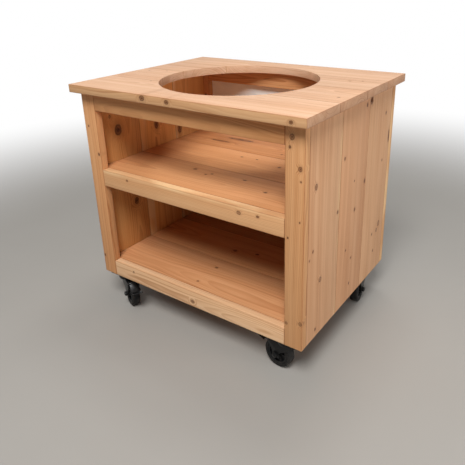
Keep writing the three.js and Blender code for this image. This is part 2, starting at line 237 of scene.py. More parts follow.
# Roughness of early and late wood, and what the fibres add to it
TIMBER_ROUGHNESS = (0.66, 0.54)
FIBRE_ROUGHNESS = (-0.04, 0.1)
TIMBER_GLOSS = 0.3

# Faces that meet at less than this look smooth, and steeper edges than these are eased
SMOOTH_ANGLE = math.radians(35)
TIMBER_EDGE = math.radians(60)
STEEL_EDGE = math.radians(50)
# How close an edge lies to the top's outline or to the cut-out's wall, and how level a rim is
OUTLINE_REACH = 1 * MM
RIM_REACH = 0.1 * MM
RIM_LEVEL = 0.01 * MM
# How much longer the tool for the cut-out is than the top is thick
CUT_OVERRUN = 20 * MM

# The knot hole high on the right side: its place as shares of the board, and its own sizes
KNOT_HOLE_BOARD = "right_side_board_3"
KNOT_HOLE_SHARES = (0.972, 0.055)
KNOT_HOLE_RADII = (6 * MM, 6.5 * MM, 8 * MM)
KNOT_HOLE_UNEVENNESS = (0.9, 1.06)

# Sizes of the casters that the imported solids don't show
HUB_RIBS = 6
RIB_HEIGHT = 5 * MM
RIB_WIDTH = 2.6 * MM
RIB_OVERLAP = 1 * MM
RIB_SUNK = 0.6 * MM
SMALL_ROUND = 0.5 * MM
LEG_OUTER = 22 * MM
AXLE_RADIUS = 5 * MM
AXLE_SHORT = 0.4 * MM
AXLE_ROUND = 0.8 * MM
AXLE_HEAD_ACROSS = 17 * MM
AXLE_HEAD_HEIGHT = 5.4 * MM
WASHER_THICKNESS = 1.5 * MM
WASHER_RADIUS = 0.56 * AXLE_HEAD_ACROSS
WASHER_GAP = 0.3 * MM
DISC_SIDES = 48

# The wear of the black coats
COAT_DEPTH = 0.05 * MM
COAT_GLOSS = 0.25
GRAIN_ROUGHNESS = 0.06
DUST_ROUGHNESS = 0.25
SCUFF_STRENGTH = 0.5

# The camera, as the photograph's perspective gives it
CAMERA_PLACE = (1.0191, -1.4052, 1.1653)
CAMERA_RIGHT = (0.825063, 0.564668, -0.020542)
CAMERA_FORWARD = (-0.530941, 0.762319, -0.370096)
SENSOR = 36.0
PICTURE_PIXELS = 465
FOCAL_PIXELS = 512.4
AXIS_PIXEL = (251.7, 181.9)

# The floor, and the place and size of each lamp
FLOOR_RADIUS = 9.0
FLOOR_SIDES = 96
FLOOR_FADE = (1.3, 3.4)
FLOOR_ROUGHNESS = 0.6
MOTTLE_TINT = (0.86, 0.84, 0.82)
MOTTLE_STRENGTH = 0.16
LAMPS = {
    "key": ((1.25, -2.85, 4.6), 2.0),
    "side": ((3.2, 0.1, 0.95), 1.2),
    "top": ((-0.1, 0.9, 4.5), 1.0),
}
LAMP_AIM = Vector((0, 0, 0.5))

# The cards in the openings of the back: how deep they stand, and how far they reach into the wood
CARD_DEPTH = 2 * MM
CARD_LAP = 1 * MM
CARD_COLOUR = (0.9, 0.91, 0.88, 1)


def colour(red, green, blue):
    """A linear colour from the eight-bit values a person would read off a screen."""
    def linear(value):
        value /= 255
        return value / 12.92 if value <= 0.04045 else ((value + 0.055) / 1.055) ** 2.4

    return tuple(linear(value) for value in (red, green, blue))


def length_setting(name, description, default, least=0.0):
    return FloatProperty(
        name=name, description=description, default=default, min=least, unit="LENGTH",
    )


def colour_setting(name, description, red, green, blue):
    return FloatVectorProperty(
        name=name, description=description, default=colour(red, green, blue), min=0, max=1,
        subtype="COLOR",
    )


def power_setting(name, description, default):
    return FloatProperty(name=name, description=description, default=default, min=0, unit="POWER")


class TimberFinish(PropertyGroup):
    """Sizes and colours of the boards."""

    edge_round: length_setting("Eased edge", "Radius of a board's eased edges", 1.5 * MM)
    joint_round: length_setting(
        "Joint edge", "Radius of the edges at a glued joint of the top", 0.6 * MM,
    )
    rim_round: length_setting("Cut-out rim", "Radius of the rims of the round cut-out", 2 * MM)
    ring_spacing: length_setting(
        "Ring spacing", "Thickness of one year's growth", 4.2 * MM, least=0.5 * MM,
    )
    knot_radius: length_setting("Knot radius", "Radius of a knot of the usual size", 7 * MM)
    cut_out_sides: IntProperty(
        name="Cut-out sides", description="Sides that the round cut-out is drawn with",
        default=240, min=24,
    )
    # The top's colour is paler and greyer than the other wood partly as painted sheen of the lit top face
    top_colour: colour_setting("Top", "Pale wood of the top", 226, 187, 156)
    frame_colour: colour_setting("Frames", "Pale wood of the frames", 221, 167, 118)
    side_colour: colour_setting("Sides", "Pale wood of the right side's boards", 218, 170, 131)
    # Painted light: the left side's boards are paler and yellower to stand in for light and orange bounce on the
    # cabinet's shaded inner left wall
    left_side_colour: colour_setting(
        "Left side", "Yellower pale wood of the left side's boards", 230, 175, 112,
    )
    shelf_colour: colour_setting("Shelves", "Pale wood of the shelves", 218, 160, 111)
    inner_colour: colour_setting(
        "Underframe", "Pale wood of the cleats, joist and runners", 206, 154, 104,
    )
    late_colour: colour_setting(
        "Late wood", "How the dark part of a year's growth tints the wood", 206, 176, 146,
    )
    ring_contrast: FloatProperty(
        name="Ring contrast", description="How clearly the year rings show",
        default=0.75, min=0, max=1, subtype="FACTOR",
    )
    sapwood_colour: colour_setting("Sapwood", "Pale wood along some edges", 240, 203, 154)
    knot_colour: colour_setting("Knot", "Wood inside a knot", 138, 84, 48)
    bark_colour: colour_setting("Knot rim", "Bark round a knot", 62, 32, 16)


class CasterFinish(PropertyGroup):
    """Sizes and colours of the casters."""

    steel_round: length_setting("Steel edge", "Radius of the edges of the pressed steel", 0.8 * MM)
    wheel_sides: IntProperty(
        name="Wheel sides", description="Sides that a wheel is drawn with", default=120, min=24,
    )
    steel_colour: colour_setting("Steel", "Black coat of the steel", 13, 13, 14)
    rubber_colour: colour_setting("Rubber", "Black rubber of the tyres", 14, 13, 13)
    hub_colour: colour_setting("Hub", "Black plastic of the hubs", 15, 15, 16)
    dust_colour: colour_setting("Dust", "Dust that lies on the casters", 120, 112, 102)


class StageSettings(PropertyGroup):
    """The floor's colour and the strength of the lights."""

    floor_colour: colour_setting("Floor", "Floor near the table", 163, 159, 153)
    key_power: power_setting("Key lamp", "Power of the high lamp in front", 274)
    side_power: power_setting("Side lamp", "Power of the low lamp to the right", 30)
    top_power: power_setting("Top lamp", "Power of the lamp above the table", 34)
    sky_strength: FloatProperty(
        name="Sky", description="Strength of the light from all round", default=0.065, min=0,
    )


class Graph:
    """Short calls that add nodes to one node tree and wire them."""

    def __init__(self, tree):
        self.tree = tree

    def add(self, kind, **settings):
        node = self.tree.nodes.new(kind)
        for name, value in settings.items():
            setattr(node, name, value)
        return node

    def feed(self, socket, value):
        if isinstance(value, bpy.types.NodeSocket):
            self.tree.links.new(value, socket)
        else:
            socket.default_value = value

    def give(self, **results):
        """Feeds the results of a shader group, and returns the group."""
        end = self.add("NodeGroupOutput").inputs
        for name, value in results.items():
            self.feed(end[name], value)
        return self.tree

    def math(self, operation, *values):
        node = self.add("ShaderNodeMath", operation=operation)
        for socket, value in zip(node.inputs, values):
            self.feed(socket, value)
        return node.outputs[0]

    def plus(self, value, more):
        return self.math("ADD", value, more)

    def minus(self, value, less):
        return self.math("SUBTRACT", value, less)

    def times(self, value, factor):
        return self.math("MULTIPLY", value, factor)

    def swing(self, noise, size):
        """A noise of 0 to 1 as one that swings about nought."""
        return self.times(self.minus(noise, 0.5), size)

    def vector(self, operation, *values):
        node = self.add("ShaderNodeVectorMath", operation=operation)
        for socket, value in zip(node.inputs, values):
            self.feed(socket, value)
        return node.outputs["Value" if operation in ("LENGTH", "DOT_PRODUCT") else "Vector"]

    def split(self, vector):
        node = self.add("ShaderNodeSeparateXYZ")
        self.feed(node.inputs[0], vector)
        return node.outputs

    def smooth(self, value, low, high, start=0.0, end=1.0):
        node = self.add("ShaderNodeMapRange", interpolation_type="SMOOTHSTEP")
        names = ("Value", "From Min", "From Max", "To Min", "To Max")
        for name, given in zip(names, (value, low, high, start, end)):
            self.feed(node.inputs[name], given)
        return node.outputs["Result"]

    def mix(self, share, first, second, blend="MIX"):
        node = self.add("ShaderNodeMix", data_type="RGBA", blend_type=blend, clamp_factor=True)
        self.feed(node.inputs[0], share)
        self.feed(node.inputs[6], opaque(first))
        self.feed(node.inputs[7], opaque(second))
        return node.outputs[2]

    def noise(self, place, scales, seed, detail=1.0, roughness=0.5):
        """Noise that changes so often in a metre along each axis."""
        node = self.add("ShaderNodeTexNoise", noise_dimensions="4D")
        self.feed(node.inputs["Vector"], self.vector("MULTIPLY", place, scales))
        self.feed(node.inputs["W"], seed)
        self.feed(node.inputs["Scale"], 1.0)
        self.feed(node.inputs["Detail"], detail)
        self.feed(node.inputs["Roughness"], roughness)
        return node.outputs["Fac"]

    def group(self, tree, **inputs):
        node = self.add("ShaderNodeGroup", node_tree=tree)
        for name, value in inputs.items():
            self.feed(node.inputs[name.capitalize()], value)
        return node.outputs

    def object_place(self):
        return self.add("ShaderNodeTexCoord").outputs["Object"]

    def bump(self, shader, height, strength, depth):
        node = self.add("ShaderNodeBump")
        self.feed(node.inputs["Strength"], strength)
        self.feed(node.inputs["Distance"], depth)
        self.feed(node.inputs["Height"], height)
        self.feed(shader.inputs["Normal"], node.outputs[0])

    def surface(self, share, first, second):
        """Makes the material's surface from two shaders."""
        node = self.add("ShaderNodeMixShader")
        for socket, value in zip(node.inputs, (share, first.outputs[0], second.outputs[0])):
            self.feed(socket, value)
        self.feed(self.tree.nodes["Material Output"].inputs["Surface"], node.outputs[0])


def opaque(value):
    """A colour with its fourth value, or the socket that was given."""
    if isinstance(value, bpy.types.NodeSocket):
        return value
    return (*value[:3], 1.0)


def shader_group(name, vectors, numbers, masks):
    """An empty shader group with its sockets. Returns its graph and what it is given."""
    tree = bpy.data.node_groups.new(name, "ShaderNodeTree")
    for label in vectors:
        tree.interface.new_socket(label, in_out="INPUT", socket_type="NodeSocketVector")
    for label in numbers:
        tree.interface.new_socket(label, in_out="INPUT", socket_type="NodeSocketFloat")
    for label in masks:
        tree.interface.new_socket(label, in_out="OUTPUT", socket_type="NodeSocketFloat")
    graph = Graph(tree)
    return graph, graph.add("NodeGroupInput").outputs


def built_once(build):
    """Keeps the shader group that a function builds, so that every material shares it."""
    def fetch():
        name = build.__name__
        return bpy.data.node_groups.get(name) or build(name)

    return fetch


@built_once
def growth_rings(name):
    """Solid wood: rings round a wavering pith, with fibres and streaks along the board."""
    graph, given = shader_group(
        name, ("Place", "Pith"), ("Seed", "Spacing", "Flow"),
        ("Late", "Fibre", "Tone", "Band", "Streak"),
    )
    place, seed = given["Place"], given["Seed"]

    def pattern(kind, seed=seed, roughness=0.5):
        along, across, detail = GRAIN_PATTERNS[kind]
        return graph.noise(place, (along, across, across), seed, detail, roughness)

    offset = graph.vector("SUBTRACT", place, given["Pith"])
    radius = graph.vector("LENGTH", graph.vector("MULTIPLY", offset, (0.0, 1.0, 1.0)))
    radius = graph.plus(radius, graph.swing(pattern("waver"), RING_WAVER))
    radius = graph.plus(radius, graph.swing(pattern("ripple"), RING_RIPPLE))
    radius = graph.plus(radius, given["Flow"])
    years = graph.math("DIVIDE", radius, given["Spacing"])
    uneven = graph.add("ShaderNodeTexNoise", noise_dimensions="1D")
    graph.feed(uneven.inputs["W"], graph.plus(graph.times(years, UNEVEN_PACE), seed))
    graph.feed(uneven.inputs["Scale"], 1.0)
    years = graph.plus(years, graph.times(uneven.outputs["Fac"], UNEVEN_YEARS))
    part_year = graph.math("FRACT", years)
    late = graph.times(graph.smooth(part_year, *LATE_RISE), graph.smooth(part_year, *LATE_FALL))
    strength = graph.add("ShaderNodeTexWhiteNoise", noise_dimensions="1D")
    graph.feed(strength.inputs["W"], graph.plus(graph.math("FLOOR", years), seed))
    late = graph.times(late, graph.smooth(strength.outputs["Value"], 0.0, 1.0, FAINT_YEAR, 1.0))
    late = graph.times(late, graph.smooth(pattern("fading"), 0.3, 0.65, FADED_RINGS, 1.0))
    patches = graph.smooth(pattern("patches", graph.plus(seed, 7.0)), 0.42, 0.62)
    return graph.give(
        Late=late,
        Fibre=pattern("fibre", roughness=0.6),
        Tone=pattern("tone"),
        Band=pattern("band"),
        Streak=graph.times(graph.smooth(pattern("streak"), 0.6, 0.76), patches),
    )


@built_once
def knot(name):
    """One knot: its heart, the bark round it, the wood it darkens, and how far it bends the rings.
    Distances from its middle count in its own radius."""
    graph, given = shader_group(
        name, ("Place", "Centre", "Section"), ("Radius",), ("Heart", "Bark", "Halo", "Flow", "Check"),
    )
    place, radius = given["Place"], given["Radius"]
    offset = graph.vector("SUBTRACT", place, given["Centre"])
    offset = graph.vector("MULTIPLY", offset, given["Section"])
    distance = graph.math("DIVIDE", graph.vector("LENGTH", offset), radius)
    ragged = graph.noise(place, (160, 160, 160), 2.0, detail=2.0)
    distance = graph.plus(distance, graph.swing(ragged, 0.6))
    cracked = graph.noise(place, (60, 420, 420), 4.0, detail=2.0)
    cracked = graph.plus(distance, graph.swing(cracked, 1.4))
    return graph.give(
        Heart=graph.smooth(distance, 1.05, 0.75),
        Bark=graph.times(graph.smooth(distance, 0.6, 0.95), graph.smooth(distance, 1.3, 1.0)),
        Halo=graph.smooth(distance, 2.8, 0.9),
        Flow=graph.times(graph.smooth(distance, 3.6, 0.4), graph.times(radius, 1.6)),
        Check=graph.smooth(cracked, 0.75, 0.25),
    )


@built_once
def board_edges(name):
    """Where a board's edges, its joints, its ends and its sapwood are."""
    graph, given = shader_group(
        name, ("Place", "Half", "Sapwood"), (), ("Edge", "Line", "End", "Side", "Sapwood"),
    )
    place = given["Place"]
    inside = graph.vector("SUBTRACT", given["Half"], graph.vector("ABSOLUTE", place))
    from_end, from_side, from_face = graph.split(inside)
    nearer = graph.math("MINIMUM", from_end, from_side)
    farther = graph.math("MAXIMUM", from_end, from_side)
    from_edge = graph.math("MAXIMUM", nearer, graph.math("MINIMUM", farther, from_face))
    ragged = graph.plus(graph.noise(place, (30, 60, 60), 5.0, detail=3.0), 0.5)
    from_edge = graph.math("DIVIDE", from_edge, ragged)
    across = graph.vector("DOT_PRODUCT", place, given["Sapwood"])
    across = graph.plus(across, graph.swing(graph.noise(place, (2.5, 12, 12), 9.0, detail=2.0), 0.5))
    breaks = graph.smooth(graph.noise(place, (6, 20, 20), 3.0), 0.35, 0.6, 0.2, 1.0)
    return graph.give(
        Edge=graph.smooth(from_edge, 5 * MM, 0.0),
        Line=graph.smooth(from_edge, 1.5 * MM, 0.4 * MM),
        End=graph.smooth(from_end, 1.2 * MM, 0.3 * MM),
        Side=graph.smooth(from_side, 1.2 * MM, 0.3 * MM),
        Sapwood=graph.times(graph.smooth(across, 0.9, 1.08), breaks),
    )


@built_once
def worn_coat(name):
    """Black parts near the floor: fine grain, scuffs, and dust that lies thicker low down."""
    graph, given = shader_group(name, ("Place",), ("Seed",), ("Grain", "Scuff", "Dust"))
    place, seed = given["Place"], given["Seed"]
    scuffs = graph.noise(place, (260, 260, 60), seed, detail=4.0, roughness=0.65)
    clouds = graph.noise(place, (70, 70, 70), seed, detail=5.0, roughness=0.6)
    low = graph.smooth(graph.split(place)["Z"], 0.11, 0.0, 0.15, 1.0)
    return graph.give(
        Grain=graph.noise(place, (1500, 1500, 1500), seed, detail=2.0),
        Scuff=graph.smooth(scuffs, 0.58, 0.74),
        Dust=graph.times(low, graph.smooth(clouds, 0.42, 0.75)),
    )


def new_material(name):
    """A material with a Principled BSDF. Returns it with its graph and that shader."""
    material = bpy.data.materials.new(name)
    material.use_nodes = True
    tree = material.node_tree
    return material, Graph(tree), tree.nodes["Principled BSDF"]


class Board:
    """A board's box, with its own axes: along the grain, across the face, through it."""

    def __init__(self, node):
        self.node = node
        self.in_top = node in TOP_PLANKS
        self.low, self.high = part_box(node)
        self.centre = (self.low + self.high) / 2
        size = self.high - self.low
        self.order = sorted(range(3), key=lambda axis: -size[axis])
        tree = node
        if self.in_top:
            # A plank that the cut-out divides is one length of wood, so its parts share its grain
            self.order = (0, 1, 2)
            self.centre.x = 0.0
            size.x = 2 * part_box("top_front_plank")[1].x
            tree = node.removesuffix("_left").removesuffix("_right")
        self.half = Vector(size[axis] / 2 for axis in self.order)
        self.axes = Matrix([[float(axis == row) for axis in range(3)] for row in self.order])
        if self.axes.determinant() < 0:
            self.axes[2] = -self.axes[2]
        self.chance = random.Random(tree)

    def share_place(self, along, across, through):
        """A point in the board's axes from shares of its length, width and thickness."""
        shares = (along, across, through)
        place = Vector((2 * share - 1) * half for share, half in zip(shares, self.half))
        for row, axis in enumerate(self.order):
            place[row] *= self.axes[row][axis]
        return place

    def own_place(self, graph):
        """A material's place on the board, in the board's axes and from its middle."""
        turn = graph.add("ShaderNodeMapping", vector_type="POINT")
        graph.feed(turn.inputs["Vector"], graph.object_place())
        graph.feed(turn.inputs["Rotation"], self.axes.to_euler("XYZ"))
        graph.feed(turn.inputs["Location"], -(self.axes @ self.centre))
        return turn.outputs[0]


def knots_of(board, usual):
    """Centre, section, radius and darkness of each knot of a board, in the board's own axes."""
    found = []
    for along, across, size, *rest in FACE_KNOT_SHARES.get(board.node, ()):
        darkness, width = (*rest, *USUAL_KNOT[len(rest):])
        place = board.share_place(along, across, 0.5)
        found.append((place, (width, 1.0, 0.0), size * usual, darkness))
    for along, through, size in EDGE_KNOT_SHARES.get(board.node, ()):
        place = board.share_place(along, 0.5, through)
        found.append((place, EDGE_KNOT_SECTION, size * usual, USUAL_KNOT[0]))
    if board.node not in FACE_KNOT_SHARES and not board.in_top:
        chance = board.chance
        for _ in range(chance.choice((2, 3, 3, 4))):
            place = board.share_place(chance.uniform(0.06, 0.94), chance.uniform(0.1, 0.9), 0.5)
            darkness = chance.uniform(0.5, 0.95)
            size = chance.uniform(0.35, 1.0)
            found.append((place, (USUAL_KNOT[1], 1.0, 0.0), size * usual, darkness))
    return found


def knot_masks(graph, board, place, finish):
    """The masks of a board's knots, each gathered from all of them, or nothing without knots."""
    gathered = {}
    for centre, section, radius, darkness in knots_of(board, finish.knot_radius):
        made = graph.group(knot(), place=place, centre=centre, section=section, radius=radius)
        for name, value in made.items():
            if name not in ("Flow", "Bark"):
                value = graph.times(value, darkness)
            if name in gathered:
                together = "ADD" if name == "Flow" else "MAXIMUM"
                value = graph.math(together, gathered[name], value)
            gathered[name] = value
    return gathered


def pith_of(board):
    """Where the middle of a board's tree was, in the board's own axes."""
    chance = board.chance
    side = chance.choice((-1, 1))
    if board.node.startswith(STRAIGHT_GRAINED):
        return (0.0, side * chance.uniform(0.13, 0.2), chance.uniform(-0.03, 0.03))
    return (0.0, chance.uniform(-0.5, 0.5) * board.half.y, side * chance.uniform(0.03, 0.06))


def sapwood_of(board):
    """A vector that reaches 1 where a board's pale sapwood begins, or nought where it has none."""
    share = SAPWOOD_SHARES.get(board.node, 0.0)
    if share == 0.0:
        return (0.0, 0.0, 0.0)
    edge = math.copysign(1.0 - 2.0 * abs(share), share)
    return (0.0, 1.0 / (edge * board.half.y), 0.0)


def timber_material(board, pale, finish):
    """The finish of one board, cut from a log of its own."""
    material, graph, shader = new_material(f"{SLOT_OF[board.node]}.{board.node}")
    chance = board.chance
    place = board.own_place(graph)
    masks = knot_masks(graph, board, place, finish)
    pith = pith_of(board)
    spacing = finish.ring_spacing * chance.uniform(0.85, 1.2)
    rings = graph.group(
        growth_rings(), place=place, pith=pith, seed=chance.uniform(0, 50), spacing=spacing,
        flow=masks.get("Flow", 0.0),
    )
    rims = graph.group(board_edges(), place=place, half=board.half, sapwood=sapwood_of(board))
    paler = chance.uniform(0.95, 1.05)
    # For some boards the tone factors carry painted light and shade as well as their own tone
    tone = BOARD_TONES_AND_PAINTED_LIGHT.get(board.node, (1.0, 1.0, 1.0))
    wood = tuple(min(1.0, value * paler * share) for value, share in zip(pale, tone))

    def tinted(wood, share, tint):
        return graph.mix(share, wood, tint, "MULTIPLY")

    def stained(wood, mask, share, stain):
        return graph.mix(graph.times(mask, share), wood, stain)

    wood = tinted(wood, graph.times(rings["Late"], finish.ring_contrast), finish.late_colour)
    for name, (low, high, share, tint) in GRAIN_TINTS.items():
        wood = tinted(wood, graph.smooth(rings[name], low, high, 0.0, share), tint)
    wood = tinted(wood, graph.times(rings["Streak"], STREAK_STRENGTH), STREAK_TINT)
    wood = stained(wood, rims["Sapwood"], SAPWOOD_STRENGTH, finish.sapwood_colour)
    if masks:
        for name, share, stain in KNOT_STAINS:
            wood = stained(wood, masks[name], share, getattr(finish, stain))
    # On the top's planks this also paints shade on their long side faces
    for name, (share, tint) in (TOP_EDGE_TINTS_AND_SIDE_SHADE if board.in_top else EDGE_TINTS).items():
        wood = tinted(wood, graph.times(rims[name], share), tint)
    graph.feed(shader.inputs["Base Color"], wood)
    rough = graph.smooth(rings["Late"], 0.0, 1.0, *TIMBER_ROUGHNESS)
    rough = graph.plus(rough, graph.smooth(rings["Fibre"], 0.3, 0.8, *FIBRE_ROUGHNESS))
    graph.feed(shader.inputs["Roughness"], rough)
    graph.feed(shader.inputs["Specular IOR Level"], TIMBER_GLOSS)
    hollow = {"Fibre": rings["Fibre"], "Streak": rings["Streak"], **masks}
    height = graph.times(rings["Late"], LATE_RELIEF)
    for name, depth in HOLLOWS.items():
        if name in hollow:
            height = graph.minus(height, graph.times(hollow[name], depth))
    graph.bump(shader, height, strength=0.6, depth=TIMBER_DEPTH)
    return material


def box_form(low, high):
    """A plain box between two corners."""
    form = bmesh.new()
    place = Matrix.Translation((low + high) / 2) @ Matrix.Diagonal((*(high - low), 1.0))
    bmesh.ops.create_cube(form, size=1.0, matrix=place)
    return form


def round_edges(form, edges, radius, segments=3):
    if radius > 0 and edges:
        bmesh.ops.bevel(
            form, geom=edges, offset=radius, offset_type="OFFSET", affect="EDGES",
            segments=segments, profile=0.5, material=-1, clamp_overlap=True,
        )


def sharp_edges(form, angle):
    """Edges between two faces that meet at more than the angle."""
    return [edge for edge in form.edges if len(edge.link_faces) == 2 and edge.calc_face_angle() > angle]


def edges_made(made):
    """The edges of a shape that an operator has just made, in a fixed order."""
    return list(dict.fromkeys(edge for vertex in made["verts"] for edge in vertex.link_edges))


def join_faces(form, apart, bend):
    """Merges points that are nearly one and faces that are nearly flat to each other."""
    bmesh.ops.remove_doubles(form, verts=form.verts, dist=apart)
    bmesh.ops.dissolve_limit(form, angle_limit=bend, verts=form.verts, edges=form.edges)


def smooth_shading(mesh):
    mesh.shade_smooth()
    mesh.set_sharp_from_angle(angle=SMOOTH_ANGLE)


def make_object(form, name):
    """A finished form as an object at the origin, smooth except at its sharp edges."""
    mesh = bpy.data.meshes.new(name)
    form.to_mesh(mesh)
    form.free()
    smooth_shading(mesh)
    thing = bpy.data.objects.new(name, mesh)
    bpy.context.scene.collection.objects.link(thing)
    return thing


def stand_for(thing, node, material):
    """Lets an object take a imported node's place, on the same body and with the same slot."""
    thing.data.materials.clear()
    thing.data.materials.append(material)
    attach(thing, BODY_OF[node])
    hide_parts(node)
    return thing


def cut_away(thing, cutter):
    """Takes one object away from another, and removes the cutter."""
    tool = thing.modifiers.new("cut", "BOOLEAN")
    tool.operation = "DIFFERENCE"
    tool.solver = "EXACT"
    tool.object = cutter
    bpy.context.view_layer.update()
    state = bpy.context.evaluated_depsgraph_get()
    cut = bpy.data.meshes.new_from_object(thing.evaluated_get(state))
    thing.modifiers.clear()
    old = thing.data
    thing.data = cut
    bpy.data.meshes.remove(old)
    bpy.data.objects.remove(cutter)
    smooth_shading(cut)


def plain_board(node, pale, finish):
    board = Board(node)
    form = box_form(board.low, board.high)
    round_edges(form, list(form.edges), finish.edge_round)
    return stand_for(make_object(form, f"{node}_timber"), node, timber_material(board, pale, finish))


def plain_boards(nodes, pale, finish):
    for node in nodes:
        plain_board(node, pale, finish)


def cut_out_radius():
    """The cut-out's radius. Its middle is the origin, so its wall is the top's nearest part."""
    vertices = frame["nodes"]["top_front_plank"].data.vertices
    return min(math.hypot(vertex.co.x, vertex.co.y) for vertex in vertices)


def cut_out_tool(radius, sides, low, high):
    form = bmesh.new()
    place = Matrix.Translation((0.0, 0.0, (low + high) / 2))
    bmesh.ops.create_cone(
        form, cap_ends=True, segments=sides, radius1=radius, radius2=radius,
        depth=high - low + CUT_OVERRUN, matrix=place,
    )
    return make_object(form, "cut_out_tool")


def top_plank(node, finish):
    """A plank of the top: outer edges eased, joints kept tight, the cut-out's rims rounded."""
    board = Board(node)
    form = box_form(board.low, board.high)
    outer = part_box("top_front_plank")[0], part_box("top_rear_plank")[1]

    def on_outline(edge):
        middle = (edge.verts[0].co + edge.verts[1].co) / 2
        return any(
            abs(middle[axis] - corner[axis]) < OUTLINE_REACH for axis in (0, 1) for corner in outer
        )

    round_edges(form, [edge for edge in form.edges if on_outline(edge)], finish.rim_round)
    loose = [edge for edge in sharp_edges(form, TIMBER_EDGE) if not on_outline(edge)]
    round_edges(form, loose, finish.joint_round, segments=1)
    thing = make_object(form, f"{node}_timber")
    radius = cut_out_radius()
    cut_away(thing, cut_out_tool(radius, finish.cut_out_sides, board.low.z, board.high.z))
    round_rim(thing, radius, finish.rim_round)
    return stand_for(thing, node, timber_material(board, finish.top_colour, finish))


def round_rim(thing, radius, rim_round):
    """Rounds the two rims that the cut-out leaves in a plank."""
    form = bmesh.new()
    form.from_mesh(thing.data)
    join_faces(form, apart=0.01 * MM, bend=math.radians(0.5))

    def on_rim(edge):
        ends = [vertex.co for vertex in edge.verts]
        level = abs(ends[0].z - ends[1].z) < RIM_LEVEL
        return level and all(abs(math.hypot(end.x, end.y) - radius) < RIM_REACH for end in ends)

    rims = [edge for edge in sharp_edges(form, TIMBER_EDGE) if on_rim(edge)]
    round_edges(form, rims, rim_round)
    form.to_mesh(thing.data)
    form.free()
    smooth_shading(thing.data)


def knot_hole_tool():
    """The hollow that a lost knot leaves in the outer face of a side board."""
    low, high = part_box(KNOT_HOLE_BOARD)
    along, across = KNOT_HOLE_SHARES
    centre = Vector((high.x, low.y + across * (high.y - low.y), low.z + along * (high.z - low.z)))
    form = bmesh.new()
    place = Matrix.Translation(centre) @ Matrix.Diagonal((*KNOT_HOLE_RADII, 1.0))
    bmesh.ops.create_icosphere(form, subdivisions=4, radius=1.0, matrix=place)
    chance = random.Random("knot hole")
    for vertex in form.verts:
        vertex.co = centre + (vertex.co - centre) * chance.uniform(*KNOT_HOLE_UNEVENNESS)
    return make_object(form, "knot_hole_tool")


def caster_axes(name):
    """A caster's own frame: origin on the floor under its swivel, X towards its wheel, Y along
    its axle, Z up."""
    swivel = Vector(JOINTS[f"{name}_swivel_turn"]["pos_m"])
    wheel = JOINTS[f"{name}_wheel_spin"]
    along = (Vector(wheel["pos_m"]) - swivel).xy.normalized()
    across = Vector((-along.y, along.x))
    return Matrix((
        (along.x, across.x, 0.0, swivel.x),
        (along.y, across.y, 0.0, swivel.y),
        (0.0, 0.0, 1.0, 0.0),
        (0.0, 0.0, 0.0, 1.0),
    ))


def reach(node, axes):
    """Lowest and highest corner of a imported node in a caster's own frame."""
    back = axes.inverted()
    points = [back @ vertex.co for vertex in frame["nodes"][node].data.vertices]
    low = Vector(min(point[axis] for point in points) for axis in range(3))
    high = Vector(max(point[axis] for point in points) for axis in range(3))
    return low, high


def spun(profile, sides):
    """A ring of revolution about the Y axis, from the radius and height pairs of its section."""
    form = bmesh.new()
    corners = [form.verts.new((radius, height, 0.0)) for radius, height in profile]
    edges = [form.edges.new(pair) for pair in zip(corners, corners[1:] + corners[:1])]
    bmesh.ops.spin(
        form, geom=corners + edges, cent=(0, 0, 0), axis=(0, 1, 0), angle=math.tau, steps=sides,
        use_merge=True, use_duplicate=False,
    )
    bmesh.ops.remove_doubles(form, verts=form.verts, dist=0.001 * MM)
    bmesh.ops.recalc_face_normals(form, faces=form.faces)
    return form


def arc(centre_radius, centre_height, size, start, end, steps):
    """Points on a round stretch of a profile. Angles are in degrees, from outwards to upwards."""
    angles = [math.radians(start + (end - start) * i / steps) for i in range(steps + 1)]
    return [(centre_radius + size * math.cos(a), centre_height + size * math.sin(a)) for a in angles]


def wheel_places(name):
    """The wheel's middle, radius and half width, the radius where tyre and hub meet, and the
    height of the hub's end."""
    axes = caster_axes(name)
    low, high = reach(f"{name}_tyre", axes)
    hub_low, hub_high = reach(f"{name}_wheel_hub", axes)
    middle = axes @ Matrix.Translation((low + high) / 2)
    return middle, (high.z - low.z) / 2, (high.y - low.y) / 2, (hub_high.z - hub_low.z) / 2, hub_high.y


def tyre_form(name, sides):
    """A solid tyre with round shoulders, a moulding line and a lip where it grips the hub."""
    middle, radius, half, seam, _ = wheel_places(name)
    shoulder = 6.5 * MM
    lip = 1.2 * MM
    crown = 0.5 * MM
    fall = 0.15 * MM
    line = 0.4 * MM
    fit = 0.2 * MM
    profile = [(seam + fit, -half + lip), (seam + lip, -half)]
    profile += arc(radius - crown - shoulder, -half + shoulder, shoulder, -90, -8, 8)
    profile += [(radius - fall, -half / 3), (radius, -line), (radius, line)]
    profile += [(radius - fall, half / 3)]
    profile += arc(radius - crown - shoulder, half - shoulder, shoulder, 8, 90, 8)
    profile += [(seam + lip, half), (seam + fit, half - lip)]
    form = spun(profile, sides)
    form.transform(middle)
    return form


